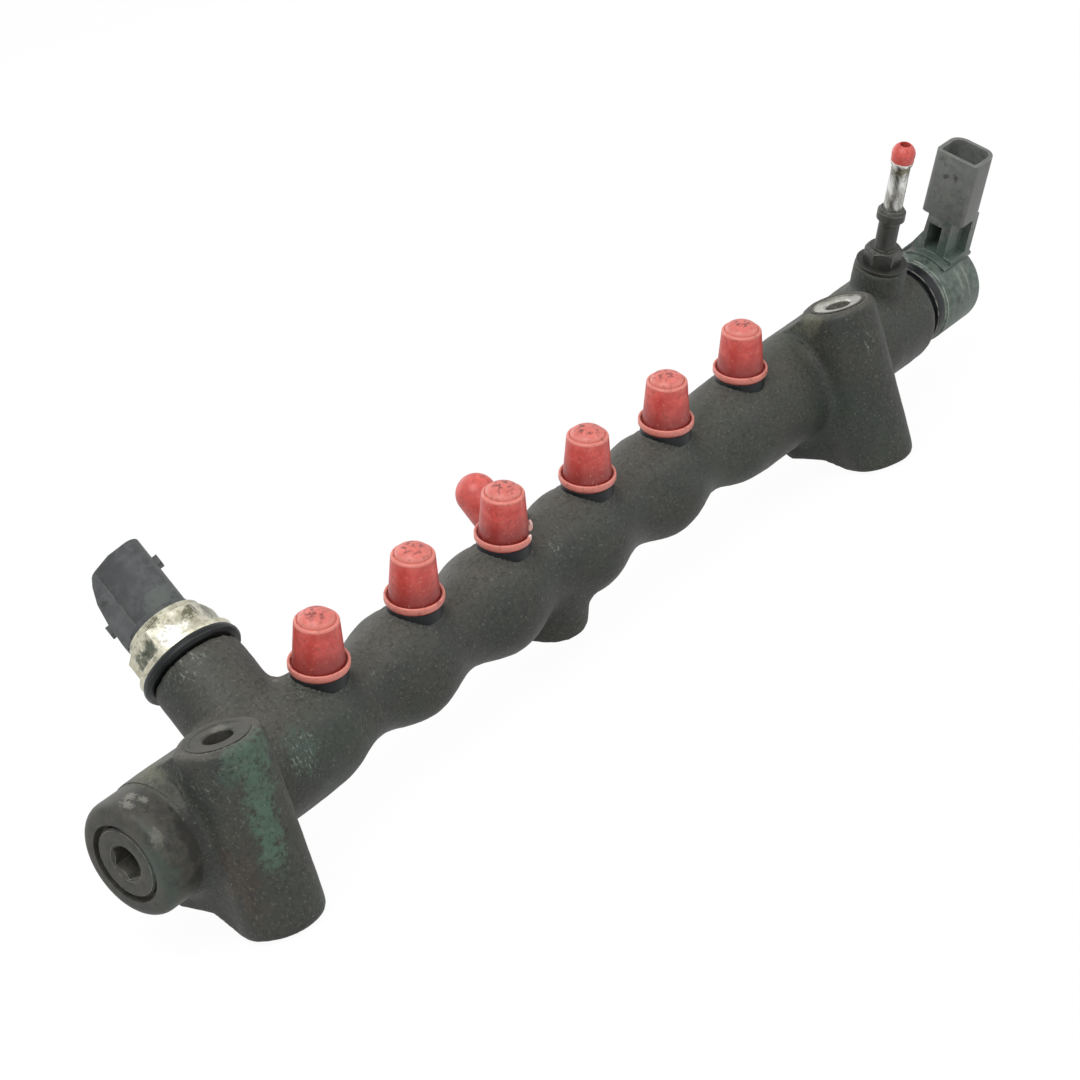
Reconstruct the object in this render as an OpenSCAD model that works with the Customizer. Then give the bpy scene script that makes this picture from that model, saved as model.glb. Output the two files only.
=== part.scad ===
// Common rail for a six cylinder diesel engine: one forged pressure rail with
// six outlet stubs, an inlet stub, a pressure sensor, a pressure regulator and
// a leak-off union. The open stubs carry push-on dust caps.
// X runs along the rail towards the regulator, Z along the mounting bolts, and
// the origin lies midway between the two bolts on the plane of their feet.

/* [Rail] */
// Length of the left end of the rail, from the middle of the bolts
rail_left_l = 184.5; // [176:1:200]
// Length of the right end of the rail, from the middle of the bolts
rail_right_l = 216.5; // [210:0.5:222]
// Radius of the plain barrel at both ends of the rail
barrel_r = 18.6; // [17.5:0.1:20]
// Radius of the swelling round each outlet
swell_r = 18.3; // [17:0.1:19]
// Radius of the necks between the outlets
neck_r = 13.6; // [12:0.1:16]
// Distance from an outlet back to the crown of its swelling
swell_back = 7; // [0:0.5:9]
// Radius of the long pressure bore
bore_r = 5; // [4:0.1:6]
// Length of the turned band at the left end
turned_l = 13; // [8:0.5:18]
// Depth of the turned band below the forged skin
turned_step = 0.6; // [0.3:0.1:1]
// Rounding of the plugged end of the barrel
end_round = 4; // [2:0.25:5]
// Rounding of the regulator end of the barrel
reg_round = 6; // [3:0.25:7]

/* [Mounting ears] */
// Distance between the two mounting bolts
bolt_span = 311; // [300:1:320]
// Height of the ears from foot to bolt seat
ear_h = 60; // [58:0.5:66]
// Radius of the ears
ear_r = 13.2; // [12.5:0.1:14.5]
// Radius of the bolt holes
bolt_hole_r = 4.5; // [4.2:0.1:5]
// Radius of the machined seat under the bolt head
bolt_seat_r = 8.5; // [8:0.1:9.5]
// Rounding of the forged edge round the bolt seat
ear_round = 2; // [1:0.1:3.6]
// Offset of the rail axis from the bolts
rail_y = 21.3; // [20:0.1:23]
// Height of the rail axis above the feet
rail_z = 33.4; // [31:0.1:36]
// Height of the underside of the left web above the feet
web_left_z = 7.5; // [4:0.5:10]
// Height of the underside of the right web above the feet
web_right_z = 5; // [3:0.5:9]
// Width of the web that joins each ear to the underside of the barrel
web_w = 24; // [18:0.5:26]

/* [Outlets] */
// Number of outlets
port_count = 6; // [6]
// Distance between outlets
port_pitch = 43; // [41:0.5:45]
// Distance from the middle of the bolts to the middle of the outlets
port_shift = 5; // [2:0.5:8]
// Lean of the outlets from upright towards the bolts
port_lean = 20.5; // [10:0.5:30]
// Height of the thread shoulder above the rail axis
stub_seat_h = 20.4; // [19.8:0.1:22]
// Radius of the turned collar below the thread
collar_r = 8.6; // [8:0.1:9]
// Outer radius of the outlet thread
stub_r = 6.8; // [6.5:0.05:6.9]
// Length of the outlet thread
stub_l = 6.6; // [5:0.1:7]
// Length of the cone nose above the thread
nose_l = 2.4; // [1.5:0.1:3]
// Radius of the bore in each stub
stub_bore_r = 1.5; // [1.2:0.1:2]

/* [Dust caps] */
// Radius of the flange at the mouth of a cap
cap_flange_r = 9.35; // [9:0.05:10]
// Thickness of the flange
cap_flange_t = 1.1; // [0.8:0.1:1.4]
// Height of the curled rim of the flange
cap_rim_h = 1.9; // [1.4:0.1:2.4]
// Radius of the cup just above the flange
cap_foot_r = 8.15; // [7.9:0.05:8.4]
// Radius of the cup at its closed end
cap_top_r = 6.85; // [6.6:0.05:7.2]
// Height of a cap
cap_h = 18.4; // [16:0.1:20]
// Rounding of the edge of the closed end of a cap
cap_round = 0.9; // [0.4:0.1:1.4]
// Crown of the closed end of a cap
cap_crown = 2.2; // [0.5:0.1:2.6]
// Wall of a cap
cap_wall = 0.75; // [0.65:0.05:0.85]
// Room between a cap and the thread inside it
cap_gap = 0.08; // [0.05:0.01:0.15]
// Outlet whose cap has a torn flange
torn_cap = 3; // [1:1:6]

/* [Inlet] */
// Distance from the middle of the bolts to the inlet
inlet_x = -1; // [-4:0.5:4]
// Lean of the inlet from upright, away from the bolts
inlet_lean = 30; // [26:1:36]
// Radius of the domed inlet cap
inlet_cap_r = 6.8; // [6.6:0.1:7.6]
// Height of the inlet cap
inlet_cap_h = 17; // [15:0.5:20]
// Outer radius of the inlet thread
inlet_r = 5.9; // [5.6:0.1:6]

/* [Lower pad] */
// Distance from the middle of the bolts to the pad
pad_x = 5.5; // [2:0.5:9]
// Radius of the forged pad below the middle of the rail
pad_r = 13.5; // [12:0.5:15]
// Distance from the rail axis to the face of the pad
pad_h = 24; // [21:0.1:26]

/* [End plug] */
// Outer radius of the plug thread
plug_r = 11; // [10:0.1:11.5]
// Length of the plug
plug_l = 16; // [13:0.5:19]
// Width across flats of the hex socket
plug_hex_w = 10; // [8:0.5:11]
// Width of the ring groove round the plug head
plug_groove_w = 1.3; // [0.8:0.1:1.8]

/* [Pressure sensor] */
// Distance from the middle of the bolts to the sensor branch
sensor_x = -125.8; // [-128:0.2:-122]
// Lean of the sensor branch from upright, away from the bolts
sensor_lean = 45.5; // [40:1:52]
// Tilt of the sensor branch along the rail
sensor_tilt = 9; // [0:1:10]
// Length of the sensor branch from the rail axis
branch_l = 37; // [35:0.1:40]
// Radius of the sensor branch
branch_r = 15.2; // [15:0.1:16.2]
// Outer radius of the sensor thread
sensor_thread_r = 9; // [8.5:0.1:9.5]
// Radius of the sensor flange
sensor_flange_r = 16.4; // [16.3:0.1:17.5]
// Thickness of the sensor flange
sensor_flange_t = 1.9; // [1.8:0.1:3]
// Width across flats of the sensor hexagon
sensor_hex_w = 26.2; // [24:0.2:28]
// Length of the sensor hexagon
sensor_hex_l = 9.4; // [9:0.2:13]
// Thickness of the black seal ring under the flange
seal_t = 3.2; // [2:0.1:3.5]
// Length of the sensor plug housing
sensor_plug_l = 27; // [20:0.5:30]

/* [Pressure regulator] */
// Radius of the solenoid can
can_r = 16.9; // [16:0.1:17.5]
// Length of the solenoid can
can_l = 25.6; // [22:0.5:28]
// Radius of the regulator flange
reg_flange_r = 16.4; // [15.5:0.1:17]
// Thickness of the regulator flange
reg_flange_t = 4.6; // [3.5:0.1:5.5]
// Thickness of the seal between barrel and flange
reg_seal_t = 1.4; // [1:0.1:2]
// Radius of the valve stem in the rail
reg_stem_r = 9; // [8:0.1:10]
// Lean of the leak-off union towards the bolts
reg_lean = 28; // [22:1:34]
// Lean of the plug tower towards the bolts
tower_lean = 30; // [24:1:34]
// Length of the plug tower socket across the rail
tower_w = 17.6; // [17:0.2:20]
// Thickness of the plug tower socket along the rail
tower_t = 15; // [12:0.5:16]
// Height of the top of the plug tower above the rail axis
tower_top = 59; // [55:0.5:62]
// Height of the underside of the socket box above the rail axis
tower_box_z = 33; // [31:0.5:35]

/* [Leak-off union] */
// Distance from the right end of the rail back to the union
union_end = 21.3; // [18:0.1:24]
// Radius of the forged boss under the union
union_boss_r = 9.8; // [8.5:0.1:10.5]
// Height of the forged boss above the rail axis
union_boss_h = 29.3; // [27:0.1:31]
// Width across flats of the union hexagon
union_hex_w = 12; // [11:0.5:13]
// Radius of the leak-off tube
tube_r = 3.4; // [3.2:0.1:3.6]
// Radius of the bead that holds a hose on the tube
tube_bead_r = 4; // [3.8:0.1:4.4]
// Height of the end of the tube above the rail axis
tube_top = 73; // [70:0.5:78]
// Radius of the ball shaped tube cap
ball_r = 4.2; // [4:0.1:4.8]

/* [Hidden] */
$fn = 96;
hex_fn = 6;
clearance = 0.05;
overlap = 0.01;
bead_steps = 14;
port_mid = (port_count - 1) / 2;
bolt_x = bolt_span / 2;
turned_r = barrel_r - turned_step;
hex_round = 2 / sqrt(3);

union_x = rail_right_l - union_end;

function port_x(i) = port_shift + (i - 1 - port_mid) * port_pitch;

// Places its children on the rail axis, leaning from upright towards the bolts
module on_rail(x, lean) {
    translate([x, rail_y, rail_z]) rotate([lean, 0, 0]) children();
}

// Places its children on the axis of the sensor branch
module on_branch() {
    on_rail(sensor_x, -sensor_lean) rotate([0, sensor_tilt, 0]) children();
}

// Turns a solid that stands on Z so that it lies along the rail
module along_rail(x) {
    translate([x, rail_y, rail_z]) rotate([0, 90, 0]) children();
}

// Hexagon with a given width across flats
module hexagon(across, height) {
    cylinder(r = across / 2 * hex_round, h = height, $fn = hex_fn);
}

// Hexagon whose two outer edges are turned off to a cone
module turned_hexagon(across, height) {
    corner = across / 2 * hex_round;
    bevel = corner - across / 2;
    intersection() {
        hexagon(across, height);
        rotate_extrude() polygon([
            [0, 0], [corner + bevel, 0], [corner + bevel, height - 1.6 * bevel],
            [across / 2 - 0.3, height], [0, height]]);
    }
}

// Quarter round from the side at radius r down to the end at height z
function corner_arc(r, z, round, steps = 5, turn = 1) =
    [for (k = [0:steps]) let (a = 90 * k / steps)
        [r - round + round * cos(a), z + turn * (round * sin(a) - round)]];

// Rounded rectangle standing on Z
module rounded_bar(w, d, h, back_round, front_round) {
    steps = 6;
    linear_extrude(h) polygon([for (q = [0:3], k = [0:steps]) let (
        a = 90 * q + 90 * k / steps,
        side_x = q == 0 || q == 3 ? 1 : -1,
        side_y = q < 2 ? 1 : -1,
        round = side_x > 0 ? back_round : front_round)
        [side_x * (w / 2 - round) + round * cos(a), side_y * (d / 2 - round) + round * sin(a)]]);
}

// Outline of the rail: plain barrels at the ends and one swelling per outlet
first_crown = port_x(1) - swell_back;
last_crown = port_x(port_count) - swell_back;
crown_lead = 8;
bead_points = [for (k = [0:bead_steps * (port_count - 1)]) let (t = k / bead_steps)
    [(swell_r + neck_r) / 2 + (swell_r - neck_r) / 2 * cos(360 * t), first_crown + t * port_pitch]];
left_points = [for (p = corner_arc(turned_r, rail_left_l, end_round)) [p[0], -p[1]]];
rail_outline = concat(
    [[0, -rail_left_l]],
    [for (k = [len(left_points) - 1:-1:0]) left_points[k]],
    [[turned_r, turned_l - rail_left_l], [barrel_r, turned_l + turned_step - rail_left_l],
     [barrel_r, first_crown - crown_lead]],
    bead_points,
    [[barrel_r, last_crown + crown_lead]],
    corner_arc(barrel_r, rail_right_l, reg_round),
    [[0, rail_right_l]]);

// One mounting ear with the web that ties it under the barrel
web_foot_z = 1;
foot_round = 2.4;
web_back_a = 30;
web_back = [rail_y + barrel_r * cos(web_back_a), rail_z - barrel_r * sin(web_back_a)];
function web_side(under_z) = [
    [0, web_foot_z], [6, web_foot_z], [14.5, under_z - 0.5], [rail_y + 8, under_z],
    [rail_y + 12, under_z + 3.5], web_back, [rail_y, rail_z], [0, rail_z]];
shoulder_drop = 2.2;
shoulder_w = 19;
shoulder_a = 78;
shoulder_side = [
    [0, rail_z], [0, ear_h - shoulder_drop], [ear_r - 3, ear_h - shoulder_drop],
    [rail_y + barrel_r * cos(shoulder_a), rail_z + barrel_r * sin(shoulder_a)], [rail_y, rail_z]];
module ear(x, under_z) {
    foot_points = [for (p = corner_arc(ear_r, 0, foot_round, 5, -1)) p];
    translate([x, 0, 0]) {
        rotate_extrude() polygon(concat(
            [[0, 0]], [for (k = [5:-1:0]) foot_points[k]],
            corner_arc(ear_r, ear_h, ear_round), [[0, ear_h]]));
        rotate([90, 0, 90]) translate([0, 0, -web_w / 2]) linear_extrude(web_w)
            polygon(web_side(under_z));
        rotate([90, 0, 90]) translate([0, 0, -shoulder_w / 2]) linear_extrude(shoulder_w)
            polygon(shoulder_side);
    }
}

// Bolt hole and the machined seat for the bolt head
seat_depth = 1;
module ear_cuts(x) {
    translate([x, 0, -1]) cylinder(r = bolt_hole_r, h = ear_h + 2);
    translate([x, 0, ear_h - seat_depth]) cylinder(r = bolt_seat_r, h = seat_depth + 1);
    translate([x, 0, ear_h - seat_depth - 0.6])
        cylinder(r1 = bolt_hole_r, r2 = bolt_hole_r + 0.6, h = 0.6 + overlap);
}

// Threaded stub with its turned collar, cone nose and forged root
root_r = collar_r + 0.8;
module stub(thread_r, thread_l) {
    cylinder(r = root_r, h = stub_seat_h - 4.5);
    cylinder(r = collar_r, h = stub_seat_h);
    cylinder(r = thread_r, h = stub_seat_h + thread_l);
    translate([0, 0, stub_seat_h + thread_l])
        cylinder(r1 = thread_r - 0.7, r2 = thread_r - 1.9, h = nose_l);
}

// Bore of a stub with the cone seat for the pipe
module stub_cut(thread_r, thread_l) {
    top = stub_seat_h + thread_l + nose_l;
    seat_r = thread_r - 2.6;
    cylinder(r = stub_bore_r, h = top + 1);
    translate([0, 0, top - (seat_r - stub_bore_r) * 1.7])
        cylinder(r1 = stub_bore_r, r2 = seat_r, h = (seat_r - stub_bore_r) * 1.7 + overlap);
}

reg_stem_l = 26;
sensor_stem_l = 13;
union_stem_l = 9;
union_stem_r = 5;
module rail_forging() {
    color("#3a3b3a") difference() {
        union() {
            along_rail(0) rotate_extrude() polygon(rail_outline);
            ear(-bolt_x, web_left_z);
            ear(bolt_x, web_right_z);
            for (i = [1:port_count]) on_rail(port_x(i), port_lean) stub(stub_r, stub_l);
            on_rail(inlet_x, -inlet_lean) stub(inlet_r, stub_l);
            on_branch() cylinder(r = branch_r, h = branch_l);
            on_rail(pad_x, port_lean + 180) rotate_extrude() polygon(concat(
                [[0, 0], [pad_r, 0]], corner_arc(pad_r, pad_h, 1.2, 3), [[0, pad_h]]));
            on_rail(union_x, reg_lean) cylinder(r = union_boss_r, h = union_boss_h);
        }
        for (x = [-bolt_x, bolt_x]) ear_cuts(x);
        along_rail(-rail_left_l - 1) cylinder(r = bore_r, h = rail_left_l + rail_right_l + 2);
        along_rail(-rail_left_l - 1) cylinder(r = plug_r + clearance, h = plug_l + 1);
        along_rail(-rail_left_l - 1) cylinder(r = plug_r + plug_groove_w, h = plug_groove_l + 1);
        along_rail(rail_right_l - reg_stem_l) cylinder(r = reg_stem_r + clearance, h = reg_stem_l + 1);
        for (i = [1:port_count]) on_rail(port_x(i), port_lean) stub_cut(stub_r, stub_l);
        on_rail(inlet_x, -inlet_lean) stub_cut(inlet_r, stub_l);
        on_branch() cylinder(r = stub_bore_r, h = branch_l + 1);
        on_branch() translate([0, 0, branch_l - sensor_stem_l - 1])
            cylinder(r = sensor_thread_r + clearance, h = sensor_stem_l + 2);
        on_rail(union_x, reg_lean) cylinder(r = stub_bore_r, h = union_boss_h + 1);
        on_rail(union_x, reg_lean) translate([0, 0, union_boss_h - union_stem_l - 1])
            cylinder(r = union_stem_r + clearance, h = union_stem_l + 2);
    }
}

// Tapered cup with a curled flange, open at the bottom
module cup() {
    mouth_r = cap_foot_r - cap_wall;
    edge_h = cap_h - cap_crown;
    crown_r = (pow(cap_top_r - cap_round, 2) + pow(cap_crown, 2)) / (2 * cap_crown);
    crown_a = asin((cap_top_r - cap_round) / crown_r);
    rotate_extrude() polygon(concat(
        [[mouth_r, 0], [cap_flange_r, 0], [cap_flange_r, cap_rim_h], [cap_flange_r - 0.55, cap_rim_h],
         [cap_flange_r - 0.8, cap_flange_t], [cap_foot_r, cap_flange_t + 0.3]],
        corner_arc(cap_top_r, edge_h, cap_round, 4),
        [for (k = [1:8]) let (a = crown_a * (1 - k / 8))
            [crown_r * sin(a), cap_h - crown_r * (1 - cos(a))]],
        [[0, cap_h - cap_wall], [cap_top_r - 2 * cap_wall, edge_h - cap_wall / 2],
         [cap_top_r - cap_wall, edge_h - cap_wall]]));
}

// Sector of the flange that has torn away, and the strip left standing beside it
tear_from = -78;
tear_to = -12;
module torn_sector() {
    rotate([0, 0, tear_from]) rotate_extrude(angle = tear_to - tear_from)
        translate([cap_foot_r + 0.15, -1]) square([4, cap_rim_h + 2]);
}
module torn_strip() {
    rotate([0, 0, tear_to - 26]) rotate_extrude(angle = 32)
        translate([cap_flange_r - 0.65, 0.25]) square([0.6, cap_rim_h + 1.2]);
}

module outlet_cap(i) {
    color("#c8504c") on_rail(port_x(i), port_lean) translate([0, 0, stub_seat_h]) {
        if (i == torn_cap) {
            difference() {
                cup();
                torn_sector();
            }
            torn_strip();
        } else {
            cup();
        }
    }
}

module inlet_cap() {
    inner = inlet_r + cap_gap;
    side = inlet_cap_h - inlet_cap_r;
    color("#c8504c") on_rail(inlet_x, -inlet_lean) translate([0, 0, stub_seat_h]) rotate_extrude()
        polygon(concat(
            [[inner, 0], [inlet_cap_r, 0]],
            corner_arc(inlet_cap_r, inlet_cap_h, inlet_cap_r - 0.01, 12),
            [[0, inlet_cap_h], [0, inlet_cap_h - 1.6]],
            [for (k = [0:8]) let (a = 90 - 90 * k / 8)
                [inner * cos(a), side + (inlet_cap_r - 1.6) * sin(a)]]));
}

// Screwed plug with a hex socket that closes the bore
plug_groove_l = 2.2;
plug_nose_l = 4;
module end_plug() {
    color("#343533") along_rail(-rail_left_l) difference() {
        union() {
            translate([0, 0, 0.4]) cylinder(r1 = plug_r - 0.6, r2 = plug_r, h = 0.6);
            translate([0, 0, 1]) cylinder(r = plug_r, h = plug_l - plug_nose_l - 1);
            translate([0, 0, plug_l - plug_nose_l])
                cylinder(r1 = plug_r - 0.8, r2 = bore_r + 0.6, h = plug_nose_l);
        }
        translate([0, 0, -1]) rotate([0, 0, 15]) hexagon(plug_hex_w, plug_l - plug_nose_l - 1);
        translate([0, 0, 0.4 - overlap])
            cylinder(r1 = plug_hex_w / 2 + 1, r2 = plug_hex_w / 2 - 0.2, h = 1.2);
    }
}

// Heights along the sensor branch
flange_z = branch_l + seal_t;
hex_z = flange_z + sensor_flange_t;
crimp_z = hex_z + sensor_hex_l;
crimp_l = 1.8;
hex_clock = 39;
crimp_r = sensor_hex_w / 2 - 0.7;
shell_r = crimp_r - 1;
module sensor_body() {
    color("#b9b7a8") on_branch() difference() {
        union() {
            translate([0, 0, branch_l - sensor_stem_l])
                cylinder(r = sensor_thread_r, h = sensor_stem_l + seal_t + 1);
            translate([0, 0, flange_z]) cylinder(r = sensor_flange_r, h = sensor_flange_t);
            translate([0, 0, hex_z]) rotate([0, 0, hex_clock]) turned_hexagon(sensor_hex_w, sensor_hex_l);
            translate([0, 0, crimp_z - 1]) cylinder(r = crimp_r, h = crimp_l + 1);
        }
        cylinder(r = stub_bore_r, h = branch_l);
        translate([0, 0, crimp_z - 2]) cylinder(r = shell_r + clearance, h = crimp_l + 3);
    }
}

module sensor_seal() {
    bulge = 0.5;
    color("#161616") on_branch() translate([0, 0, branch_l]) rotate_extrude()
        polygon([
            [sensor_thread_r + clearance, 0], [sensor_flange_r - 0.2, 0],
            [sensor_flange_r + bulge, seal_t / 3], [sensor_flange_r + bulge, seal_t * 2 / 3],
            [sensor_flange_r, seal_t], [sensor_thread_r + clearance, seal_t]]);
}

// Plug socket of the sensor: a round foot, a deep box drawn in to a nose on the left, and
// a guide that spreads out from the nose towards the foot
sensor_box_w = 18;
sensor_box_d = 14;
plug_clock = -32;
plug_wall = 1.5;
plug_round = 4;
plug_nose_r = 4.5;
plug_shoulder_x = -1;
plug_neck_r = 10.5;
plug_shift = 1.1;
plug_skirt_l = 2.6;
plug_floor_l = 7;
guide_line = [[13.4, 0.4], [13.8, 2.5], [13.4, 10.9], [12.4, 17.8], [10.4, 23.3], [8.8, 26]];
guide_w = 7;
crimp_top_z = crimp_z + crimp_l;
plug_floor_z = crimp_top_z + plug_skirt_l + plug_floor_l;
plug_top_z = crimp_top_z + sensor_plug_l;
module in_plug() {
    on_branch() rotate([0, 0, plug_clock]) translate([plug_shift, 0, 0]) children();
}
module plug_bar(w, d, h, round, nose) {
    // Two rounded corners on the right, and flanks that run from the shoulders to the nose
    steps = 6;
    run = plug_shoulder_x + w / 2 - nose;
    flank = atan2(d / 2, run) + acos(nose / norm([run, d / 2]));
    linear_extrude(h) polygon(concat(
        [for (k = [0:steps]) let (a = 90 * k / steps - 90)
            [w / 2 - round + round * cos(a), round - d / 2 + round * sin(a)]],
        [for (k = [0:steps]) let (a = 90 * k / steps)
            [w / 2 - round + round * cos(a), d / 2 - round + round * sin(a)]],
        [[plug_shoulder_x, d / 2]],
        [for (k = [0:steps]) let (a = flank + (360 - 2 * flank) * k / steps)
            [nose - w / 2 + nose * cos(a), nose * sin(a)]],
        [[plug_shoulder_x, -d / 2]]));
}
module plug_guide() {
    root_x = 2 - sensor_box_w / 2;
    difference() {
        rotate([90, 0, 0]) translate([0, 0, -guide_w / 2]) linear_extrude(guide_w) polygon(concat(
            [[root_x, guide_line[0][1] + crimp_top_z]],
            [for (p = guide_line) [-p[0], p[1] + crimp_top_z]],
            [[root_x, guide_line[5][1] + crimp_top_z]]));
        // Pocket for the latch of the mating plug
        translate([-guide_line[3][0], 0.8, crimp_top_z + 17]) cube([3, guide_w, 3]);
    }
}
module sensor_plug_housing() {
    base_z = crimp_z - 2;
    rim_z = crimp_top_z - 0.5;
    color("#3b3c3d") difference() {
        union() {
            on_branch() translate([0, 0, base_z]) cylinder(r = shell_r, h = rim_z - base_z);
            on_branch() translate([0, 0, rim_z - 1])
                cylinder(r = plug_neck_r, h = crimp_top_z + plug_skirt_l - rim_z + 1);
            in_plug() translate([0, 0, rim_z])
                plug_bar(sensor_box_w, sensor_box_d, plug_top_z - rim_z, plug_round, plug_nose_r);
            in_plug() plug_guide();
            in_plug() translate([sensor_box_w / 2 + 0.4, 0, plug_floor_z + 9])
                cube([2.4, 4, 3], center = true);
            in_plug() translate([-guide_line[2][0] - 0.4, 0, plug_floor_z]) cube([2, 4, 3], center = true);
        }
        in_plug() translate([0, 0, plug_floor_z])
            plug_bar(sensor_box_w - 2 * plug_wall, sensor_box_d - 2 * plug_wall, sensor_plug_l,
                plug_round - plug_wall, plug_nose_r - plug_wall);
        sensor_pins();
    }
}

// Blades that stand in the floor of each plug socket
pin_l = 9;
pin_root = 3;
module pin(w, d, floor_z) {
    translate([-w / 2, -d / 2, floor_z - pin_root]) cube([w, d, pin_l]);
}
module sensor_pins() {
    color("#c9a64a") in_plug() for (k = [-1:1])
        translate([k * 3.6, 0, 0]) pin(1.2, 0.8, plug_floor_z);
}

// Places along the rail of the regulator's pieces
seal_x = rail_right_l;
reg_flange_x = seal_x + reg_seal_t;
can_x = reg_flange_x + reg_flange_t;
module regulator_body() {
    color("#4a4c49") along_rail(rail_right_l - reg_stem_l) difference() {
        union() {
            cylinder(r1 = reg_stem_r - 3, r2 = reg_stem_r - 1, h = 5);
            translate([0, 0, 5]) cylinder(r = reg_stem_r, h = reg_stem_l + reg_seal_t - 4);
            translate([0, 0, reg_stem_l + reg_seal_t]) cylinder(r = reg_flange_r, h = reg_flange_t);
        }
        translate([0, 0, -1]) cylinder(r = stub_bore_r, h = reg_stem_l - 4);
    }
}

module regulator_seal() {
    color("#121212") along_rail(seal_x) difference() {
        cylinder(r = reg_flange_r - 1.3, h = reg_seal_t);
        translate([0, 0, -1]) cylinder(r = reg_stem_r + clearance, h = reg_seal_t + 2);
    }
}

module regulator_can() {
    color("#56655c") along_rail(can_x) rotate_extrude() polygon(concat(
        [[0, 0], [can_r - 0.8, 0], [can_r - 0.8, 1], [can_r, 1.6]],
        corner_arc(can_r, can_l, 3), [[0, can_l]]));
}

// Plug tower moulded on the can: thin saddle, ribbed skirt and the socket box
tower_x = can_x + can_l - tower_t / 2 - 1.2;
tower_wall = 1.5;
tower_round = 5;
tower_front_round = 2;
tower_socket_l = 17;
tower_floor_z = tower_top - tower_socket_l;
tower_y = -0.5;
saddle_t = 0.9;
saddle_w = 17;
skirt_front = -tower_t / 2 + 0.4;
skirt_back = tower_t / 2 - 1.2;
skirt_side = -8.7;
skirt_flare = [[4.8, 32], [5.2, 25], [8.6, 18.2], [12, 13], [10, 11]];
rib_left_y = 3.6;
rib_middle_y = -1.8;
rib_middle_w = 3.6;
window_z = can_r + 1.2;
window_l = 11.2;
module tower_solid() {
    front_y = rib_middle_y - rib_middle_w;
    intersection() {
        translate([-tower_t / 2 - 3, 0, 0]) rotate([0, 90, 0])
            cylinder(r = can_r + saddle_t, h = tower_t + 4);
        translate([-tower_t, -saddle_w / 2, 0]) cube([2 * tower_t, saddle_w, can_r + saddle_t]);
    }
    difference() {
        rotate([90, 0, 90]) translate([0, 0, skirt_front]) linear_extrude(skirt_back - skirt_front)
            polygon(concat(skirt_flare, [
                [skirt_side, 12], [skirt_side, tower_box_z + 1], [4.8, tower_box_z + 1]]));
        // Pocket between the left and middle ribs, and the open corner right of the middle rib
        translate([skirt_front - 1, rib_middle_y, window_z])
            cube([skirt_back - skirt_front - 1, rib_left_y - rib_middle_y, window_l]);
        translate([skirt_front - 1, skirt_side - 1, window_z])
            cube([tower_t - 4.6, front_y - skirt_side + 1, tower_box_z]);
    }
    translate([0, tower_y, tower_box_z])
        rounded_bar(tower_t, tower_w, tower_top - tower_box_z, tower_round, tower_front_round);
}
module regulator_tower() {
    color("#4b4c4d") on_rail(tower_x, tower_lean) difference() {
        tower_solid();
        translate([0, tower_y, tower_floor_z])
            rounded_bar(tower_t - 2 * tower_wall, tower_w - 2 * tower_wall, tower_top,
                tower_round - tower_wall, 1);
        translate([-2 * tower_t, 0, 0]) rotate([0, 90, 0]) cylinder(r = can_r + clearance, h = 4 * tower_t);
        regulator_pin_blades();
    }
}

module regulator_pin_blades() {
    for (y = [-3.5, 3.5]) translate([0, tower_y + y, 0]) pin(0.8, 1.6, tower_floor_z);
}
module regulator_pins() {
    color("#c9a64a") on_rail(tower_x, tower_lean) regulator_pin_blades();
}

// Heights along the leak-off union
washer_t = 1;
union_hex_z = union_boss_h + washer_t;
union_hex_l = 6;
union_neck_r = tube_r + 0.4;
union_collar_z = 47.2;
union_collar_l = 5.4;
union_collar_w = 1.3;
tube_foot_z = union_collar_z - 4;
module union_body() {
    color("#5d5f5b") on_rail(union_x, reg_lean) difference() {
        union() {
            translate([0, 0, union_boss_h - union_stem_l])
                cylinder(r = union_stem_r, h = union_stem_l + washer_t + 1);
            translate([0, 0, union_hex_z]) turned_hexagon(union_hex_w, union_hex_l);
            translate([0, 0, union_hex_z + union_hex_l - 1])
                cylinder(r = union_neck_r, h = union_collar_z - union_hex_z - union_hex_l + 1);
            translate([0, 0, union_collar_z]) rotate_extrude() polygon([
                [0, 0], [union_neck_r, 0], [union_neck_r + union_collar_w, 1.1],
                [union_neck_r + union_collar_w, union_collar_l - 1.2],
                [union_neck_r + 0.4, union_collar_l], [0, union_collar_l]]);
        }
        cylinder(r = stub_bore_r, h = tube_foot_z + 1);
        translate([0, 0, tube_foot_z]) cylinder(r = tube_r + clearance, h = tube_top);
    }
}

module union_washer() {
    color("#8a6a48") on_rail(union_x, reg_lean) translate([0, 0, union_boss_h]) difference() {
        cylinder(r = union_boss_r - 0.6, h = washer_t);
        translate([0, 0, -1]) cylinder(r = union_stem_r + clearance, h = washer_t + 2);
    }
}

tube_wall = 1.1;
tube_bead_drop = 1.2;
module leak_off_tube() {
    color("#b9b6ac") on_rail(union_x, reg_lean) difference() {
        union() {
            translate([0, 0, tube_foot_z]) cylinder(r = tube_r, h = tube_top - tube_foot_z);
            translate([0, 0, tube_top - tube_bead_drop]) rotate_extrude() polygon([
                [0, -2], [tube_r, -2], [tube_bead_r - 0.1, -1],
                [tube_bead_r, -0.5], [tube_bead_r, 0], [0, 0]]);
        }
        cylinder(r = tube_r - tube_wall, h = tube_top + 1);
    }
}

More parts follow.
